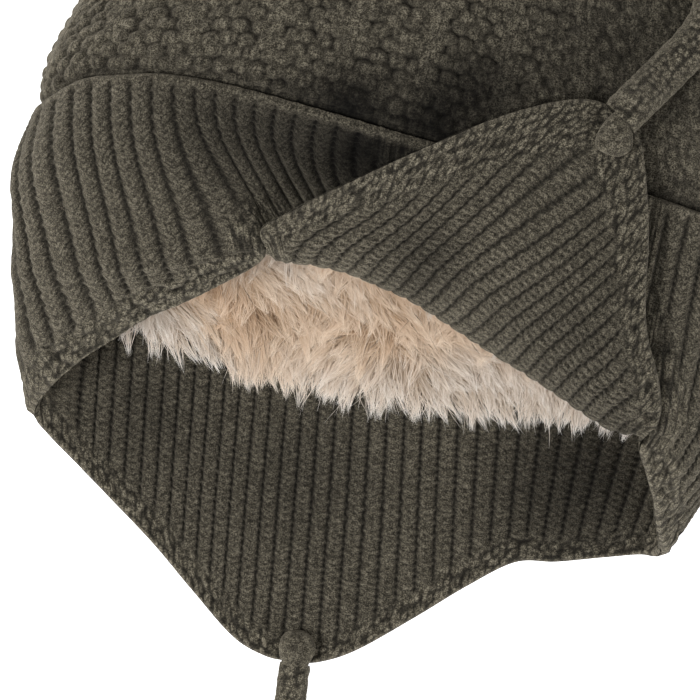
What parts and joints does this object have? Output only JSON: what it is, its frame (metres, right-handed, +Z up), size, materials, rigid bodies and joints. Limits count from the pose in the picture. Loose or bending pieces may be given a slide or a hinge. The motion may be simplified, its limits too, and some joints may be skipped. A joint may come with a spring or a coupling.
{
  "type": "knit earflap hat",
  "caption": "Ribbed knit winter hat lying flat, with a textured crown, one ear flap turned up, one flat, knitted ties and a fur lining.",
  "frame": {"origin": "centre of the hat's footprint without its ties, on the surface that it lies on", "axes": "+Z up, +Y from the opening towards the crown, +X to the right as seen from above with the crown up"},
  "size_m": [0.2489, 0.3462, 0.0872],
  "materials": {
    "knit_yarn": "rough olive grey-brown wool",
    "faux_fur": "soft beige pile"
  },
  "bodies": {
    "root": {"cuff": "knit_yarn", "crown": "knit_yarn", "lining": "faux_fur", "tie_near": "knit_yarn", "tie_near_knob": "knit_yarn", "tie_far": "knit_yarn", "tie_far_knob": "knit_yarn"}
  },
  "joints": []
}
